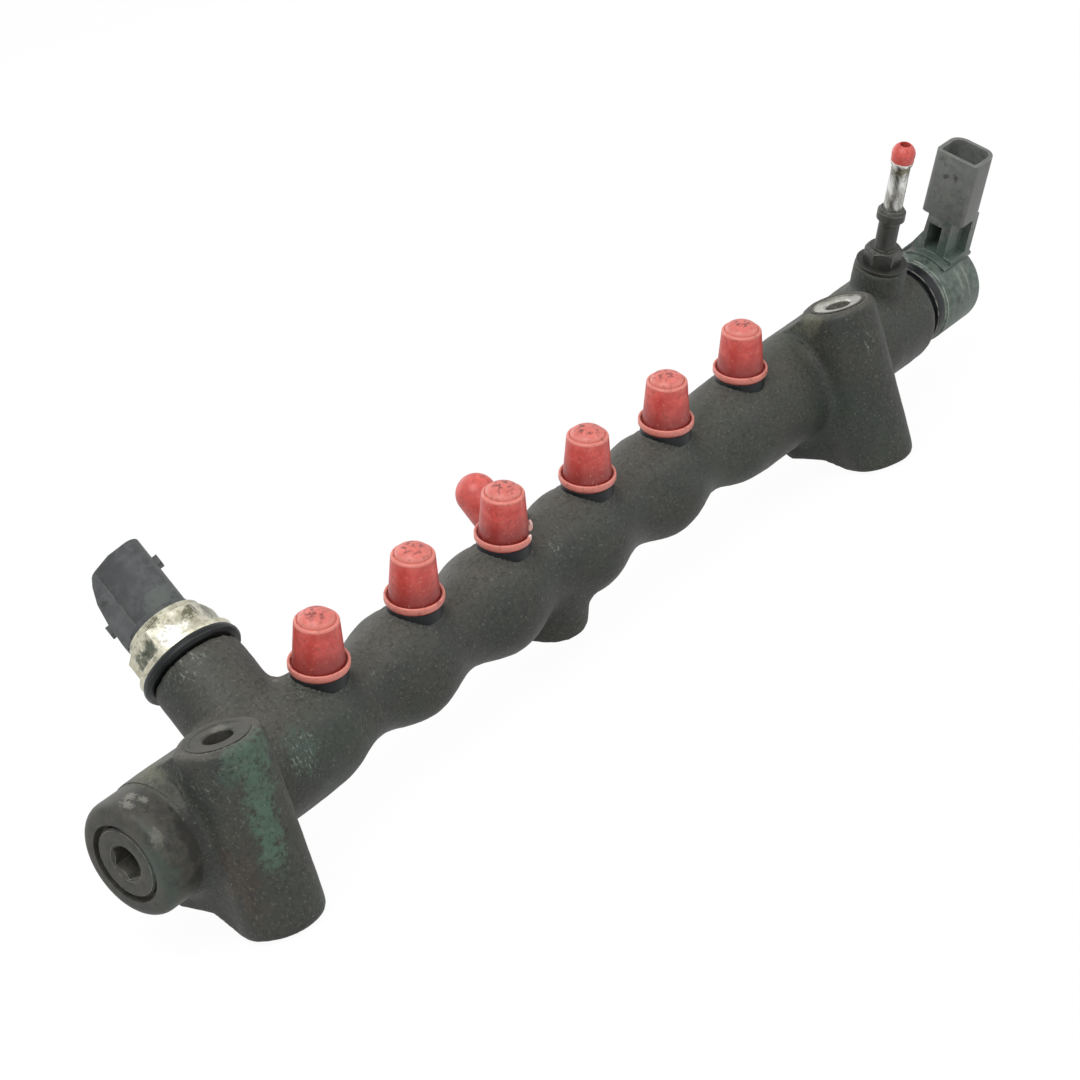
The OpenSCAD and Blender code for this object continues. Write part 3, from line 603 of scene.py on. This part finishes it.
# Turned and faced places of the forging: crisp rings, with the forged skin drawn back under them.
# Each profile is a list of radius and height: above the rail axis, above the feet, or from the rail's end.
turned = {
    "collar": [(7.0, 15.0), (8.62, 15.0), (8.62, 19.9), (8.3, 20.38), (7.0, 20.38)],
    "oiledSeat": [(4.5, 30), (4.5, 59.2), (5.0, 59.7), (8.2, 59.72), (8.5, 59.92), (9.7, 59.96), (9.7, 58),
                  (5.6, 30)],
    "seat": [(4.5, 30), (4.5, 58.8), (5.1, 59.4), (8.45, 59.4), (8.5, 59.85), (8.7, 60.02), (9.7, 60.02),
             (9.7, 58), (5.6, 30)],
    "seatBright": 8.55,   # faced steel inside this radius, and phosphate outside it
    "end": [(11.1, 13.4), (18.4, 13.6), (17.5, 13.0), (17.5, 12.6), (18.0, 12.3), (18.0, 4.0)],
    "endRadius": 18.0,
    "endRound": 4.0,
    "endGroove": [(12.4, 0.0), (12.3, 0.15), (12.3, 2.2), (11.1, 2.2)],
}


def endProfile():
    corner = [(turned["endRadius"] - turned["endRound"] * (1 - math.cos(turn)),
               turned["endRound"] * (1 - math.sin(turn))) for turn in quarterTurn()[1:]]
    return turned["end"] + corner + turned["endGroove"]


def makeRing(name, points, place, materials, steps=72, inner=math.inf):
    # faces further out than inner take the second material
    bm = spinProfile(points, place, steps)
    back = place.inverted()
    for face in bm.faces:
        centre = back @ (face.calc_center_median() / mm)
        face.material_index = 1 if math.hypot(centre.x, centre.y) > inner else 0
    stampPiece(name, finishMesh(bm, name, 30), materials, "forged_steel")


for number, x in enumerate(rail["ports"], 1):
    makeRing("outletCollar%d" % number, turned["collar"], onRail(x, rail["portLean"]), [darkSteel])
makeRing("inletCollar", turned["collar"], onRail(rail["inlet"], rail["inletLean"]), [darkSteel])
makeRing("boltSeatLeft", turned["oiledSeat"], Matrix.Translation((-rail["bolt"], 0, 0)), [turnedEnd])
makeRing("boltSeatRight", turned["seat"], Matrix.Translation((rail["bolt"], 0, 0)), [seatSteel, turnedEnd],
         inner=turned["seatBright"])
makeRing("turnedEnd", endProfile(), alongRail(rail["leftEnd"]), [turnedEnd], steps=96)
print("turned rings made")


# Dust caps: thin moulded cups with a rolled flange and a crowned end
cap = {
    "mouth": 7.1,         # radius inside the flange
    "bore": 6.95,
    "flangeRadius": 9.35,
    "flangeRoot": 7.5,    # inner side of what is left of a torn flange
    # in from the flange's edge, and up from the seat for the lip or down from the rim for the roll
    "lip": [(0.7, 0.0), (0.25, 0.45), (0.0, 1.0)],
    "roll": [(0.0, 0.4), (0.1, 0.12), (0.3, 0.0), (0.65, 0.05), (0.9, 0.3), (1.05, 0.8), (1.2, 1.05)],
    "rimHeight": 2.8,
    "footRadius": 7.95,
    "footDepth": 0.8,     # foot of the cone, below the rim
    "troughRound": 0.08,
    "topRadius": 6.85,
    "edgeHeight": 16.8,
    "height": 19.7,       # at the middle of the crown
    "wall": 0.75,
    "corner": 0.9,        # rounding of the closed end
    "ridge": 0.25,        # step between that and the crown
    "boreTop": 6.8,
    "inside": (1.6, 0.5),             # corner of the hollow, in from the top and down
    "rubbedAndLitFrom": 10.0,   # the cone is clean below this height, and above it pales upwards with rubbing and painted light
    "crownRadius": 5.2,
    "smudgeRadius": 4.4,  # handling has smudged the middle of the closed end
    "smudgeFade": 1.6,
    "tornPort": 3,
    # lengths of its torn flange: start and sweep in degrees, lift, size and material. First what is left of
    # the flange, then a strip left standing, and the pale end of the tear
    "torn": [(-8, 290, 0.0, 1.0, 0), (-44, 15, 1.7, 0.985, 1), (-78, 9, 0.15, 0.98, 1)],
}
# How each part of a cap is painted: 1 pale from rubbing and painted light, 0 clean, -1 dark with dirt and
# painted shade
capLightShadeAndWear = {
    "roll": 1.0,
    "lip": 0.4,
    "trough": -1.0,
    "corner": 0.75,
    "crown": 0.5,
    "coneTop": 0.25,
    "plain": 0.15,        # the caps of the inlet and of the tube, all over
}


def flangeEdge():
    flange, rim = cap["flangeRadius"], cap["rimHeight"]
    lip = [(flange - inward, up) for inward, up in cap["lip"]]
    return lip + [(flange - inward, rim - down) for inward, down in cap["roll"]]


def cupProfile():
    # from the foot of the cone over the crown and back down the inside
    points = [(cap["footRadius"], cap["rimHeight"] - cap["footDepth"])]
    for turn in quarterTurn():
        points.append((cap["topRadius"] - cap["corner"] * (1 - math.cos(turn)),
                       cap["edgeHeight"] + cap["ridge"] - cap["corner"] * (1 - math.sin(turn))))
    disc = cap["topRadius"] - cap["corner"] - cap["ridge"]
    crown = cap["height"] - cap["edgeHeight"]
    for turn in quarterTurn():
        points.append((disc * math.cos(turn), cap["edgeHeight"] + crown * math.sin(turn)))
    inward, down = cap["inside"]
    hollow = [(0.0, cap["height"] - cap["wall"]), (cap["topRadius"] - inward, cap["edgeHeight"] - down),
              (cap["bore"], cap["boreTop"])]
    return points + hollow


def capProfile():
    edge = flangeEdge()
    trough = (cap["footRadius"] + cap["troughRound"], edge[-1][1])
    return [(cap["mouth"], 0.0)] + edge + [trough] + cupProfile()


def tornProfile():
    return [(cap["mouth"], 0.0), (cap["footRadius"], 0.0)] + cupProfile()


def flangeProfile():
    # the flange alone, closed at its inner side
    points = flangeEdge()
    return [(cap["flangeRoot"], 0.0)] + points + [(cap["flangeRoot"], points[-1][1])]


# rim, edge ring, crown and upper cone carry painted light with the rubbing; the trough carries painted shade
# with the dirt
def capTone(radius, height):
    if height < cap["rimHeight"] + 0.1:
        if radius > cap["flangeRadius"] - 1.0:
            return capLightShadeAndWear["roll"] if height > 0.9 else capLightShadeAndWear["lip"]
        return capLightShadeAndWear["trough"]
    if height > cap["edgeHeight"] - 0.6:
        return capLightShadeAndWear["corner"] if radius > cap["crownRadius"] else capLightShadeAndWear["crown"]
    return max(0.0, capLightShadeAndWear["coneTop"] * (height - cap["rubbedAndLitFrom"]) / 6)


def capMiddle(radius, height):
    # 1 at the middle of the closed end, where it is smudged, 0 elsewhere
    if height <= cap["edgeHeight"] - 0.2:
        return 0.0
    return max(0.0, min(1.0, (cap["smudgeRadius"] - radius) / cap["smudgeFade"]))


def setTones(mesh, tones, middles):
    mesh.attributes.new("tone", "FLOAT", "POINT").data.foreach_set("value", tones)
    mesh.attributes.new("middle", "FLOAT", "POINT").data.foreach_set("value", middles)


def toneCap(mesh, place):
    back = place.inverted()
    local = [back @ (v.co / mm) for v in mesh.vertices]
    spots = [(math.hypot(p.x, p.y), p.z) for p in local]
    setTones(mesh, [capTone(*spot) for spot in spots], [capMiddle(*spot) for spot in spots])


def seatedOn(x, lean):
    return onRail(x, lean) @ Matrix.Translation((0, 0, rail["seat"]))


def addFlange(bm, place, start, sweep, lift, size, finish):
    # one length of the flange, lifted and made smaller where it has pulled away
    before = set(bm.faces)
    verts = [bm.verts.new((radius * size, 0, height * size + lift)) for radius, height in flangeProfile()]
    face = bm.faces.new(verts)
    bmesh.ops.transform(bm, matrix=Matrix.Rotation(math.radians(start), 4, "Z"), verts=verts)
    bmesh.ops.spin(bm, geom=verts + list(face.edges) + [face], cent=(0, 0, 0), axis=(0, 0, 1),
                   angle=math.radians(sweep), steps=max(3, int(sweep / 6)), use_merge=False)
    fresh = [f for f in bm.faces if f not in before]
    bmesh.ops.recalc_face_normals(bm, faces=fresh)
    freshVerts = list({v for f in fresh for v in f.verts})
    bmesh.ops.transform(bm, matrix=Matrix.Scale(mm, 4) @ place, verts=freshVerts)
    for f in fresh:
        f.material_index = finish


for number, x in enumerate(rail["ports"], 1):
    place = seatedOn(x, rail["portLean"])
    if number == cap["tornPort"]:
        bm = spinProfile(tornProfile(), place)
        for length in cap["torn"]:
            addFlange(bm, place, *length)
        materials = [redPlastic, tornPlastic]
    else:
        bm = spinProfile(capProfile(), place)
        materials = [redPlastic]
    mesh = finishMesh(bm, "outletCap%d" % number)
    toneCap(mesh, place)
    stampPiece("outletCap%d" % number, mesh, materials, "red_plastic", "outlet_cap_%d" % number)
print("dust caps made")


# Every other node keeps its form, with its edges broken by a small bevel that is marked as worn:
# its finish, the name of its slot and the width of the bevel
dressing = {
    "inlet_cap": (redPlastic, "red_plastic", 0.1),
    "end_plug": (turnedEnd, "dark_steel", 0.2),
    "sensor_body": (zincPlate, "plated_steel", 0.2),
    "sensor_seal": (blackRubber, "black_rubber", 0.2),
    "sensor_plug_housing": (darkNylon, "grey_plastic", 0.3),
    "sensor_pins": (tinnedBrass, "contact_brass", 0.1),
    "regulator_body": (darkSteel, "dark_steel", 0.3),
    "regulator_seal": (blackRubber, "black_rubber", 0.1),
    "regulator_can": (canPlate, "can_steel", 0.2),
    "regulator_tower": (greyNylon, "grey_plastic", 0.3),
    "regulator_pins": (tinnedBrass, "contact_brass", 0.1),
    "union_body": (wornSteel, "dark_steel", 0.25),
    "union_washer": (oldCopper, "washer_copper", 0.1),
    "leak_off_tube": (drawnTube, "plated_steel", 0.15),
    "tube_cap": (redPlastic, "red_plastic", 0.15),
}
# Angles between faces, in degrees: joined as flat below the first, bevelled above the second
edgeAngles = {"flat": 0.6, "sharp": 32}


def dressNode(name, material, slotName, width):
    bm = bmesh.new()
    bm.from_mesh(nodes[name].data)
    bmesh.ops.remove_doubles(bm, verts=bm.verts, dist=2e-6)
    bmesh.ops.dissolve_limit(bm, angle_limit=math.radians(edgeAngles["flat"]), verts=bm.verts, edges=bm.edges)
    worn = bm.faces.layers.float.new("worn")
    limit = math.radians(edgeAngles["sharp"])
    sharp = [e for e in bm.edges if len(e.link_faces) == 2 and e.calc_face_angle(0.0) > limit]
    broken = bmesh.ops.bevel(bm, geom=sharp, offset=width * mm, affect="EDGES", segments=2, profile=0.5,
                             material=-1, clamp_overlap=True)
    for face in broken["faces"]:
        face[worn] = 1.0
    first, *others = name.split("_")
    piece = first + "".join(word.capitalize() for word in others)
    mesh = finishMesh(bm, piece, 35)
    if material is redPlastic:
        count = len(mesh.vertices)
        setTones(mesh, [capLightShadeAndWear["plain"]] * count, [0.0] * count)
    stampPiece(piece, mesh, [material], slotName, name)


for name, (material, slotName, width) in dressing.items():
    dressNode(name, material, slotName, width)
print("other pieces dressed")


# Studio: white floor and backdrop, soft lamps. Its places and sizes are metres.
studio = {
    "floor": -0.0005,     # just under the feet
    "size": 6.0,
    "paper": "#cfcfcc",
    "white": 1.03,        # strength at which the camera sees the paper
    "seen": 0.93,         # share of that, and the rest is the lit paper with its shadow
    "world": 0.68,
    "aim": (0, 0, 0.03),
    "lamps": [("keyLamp", (-0.7, -0.5, 1.3), 14.0, 0.9), ("fillLamp", (0.9, -1.1, 0.8), 5.0, 1.2),
              ("backLamp", (0.2, 1.4, 0.9), 6.0, 1.2)],     # name, place, power, size
}


def seenDirectly(tree):
    # 1 where the camera or a reflection looks at it, 0 where it only gives light
    ray = addNode(tree, "ShaderNodeLightPath")
    return addNode(tree, "ShaderNodeMath", {0: ray.outputs["Is Camera Ray"], 1: ray.outputs["Is Glossy Ray"]},
                   operation="MAXIMUM")


def makeFloor():
    bm = bmesh.new()
    bmesh.ops.create_grid(bm, x_segments=1, y_segments=1, size=studio["size"])
    bmesh.ops.translate(bm, verts=bm.verts, vec=(0, 0, studio["floor"]))
    mesh = bpy.data.meshes.new("studioFloor")
    bm.to_mesh(mesh)
    bm.free()
    floor = bpy.data.objects.new("studioFloor", mesh)
    scene.collection.objects.link(floor)
    # Matt white paper: the eye sees it white, and it lights the object from below as paper does
    material, tree = startMaterial("whitePaper")
    paper = addNode(tree, "ShaderNodeBsdfDiffuse", {"Color": srgb(studio["paper"])})
    white = addNode(tree, "ShaderNodeEmission", {"Color": (1, 1, 1, 1), "Strength": studio["white"]})
    share = addNode(tree, "ShaderNodeMath", {0: seenDirectly(tree), 1: studio["seen"]}, operation="MULTIPLY")
    both = addNode(tree, "ShaderNodeMixShader", {0: share, 1: paper, 2: white})
    addNode(tree, "ShaderNodeOutputMaterial", {"Surface": both})
    mesh.materials.append(material)


def makeLight():
    world = bpy.data.worlds.new("studioLight")
    scene.world = world
    world.use_nodes = True
    tree = world.node_tree
    tree.nodes.clear()
    strength = addNode(tree, "ShaderNodeMapRange",
                       {"Value": seenDirectly(tree), "From Min": 0.0, "From Max": 1.0,
                        "To Min": studio["world"], "To Max": 1.0}, interpolation_type="SMOOTHSTEP")
    sky = addNode(tree, "ShaderNodeBackground", {"Color": (1, 1, 1, 1), "Strength": strength})
    addNode(tree, "ShaderNodeOutputWorld", {"Surface": sky})
    for name, place, power, size in studio["lamps"]:
        data = bpy.data.lights.new(name, "AREA")
        data.energy = power
        data.size = size
        lamp = bpy.data.objects.new(name, data)
        scene.collection.objects.link(lamp)
        lamp.location = place
        lamp.rotation_euler = (Vector(studio["aim"]) - Vector(place)).to_track_quat("-Z", "Y").to_euler()


makeFloor()
makeLight()
scene.view_settings.view_transform = "Standard"
print("studio made")
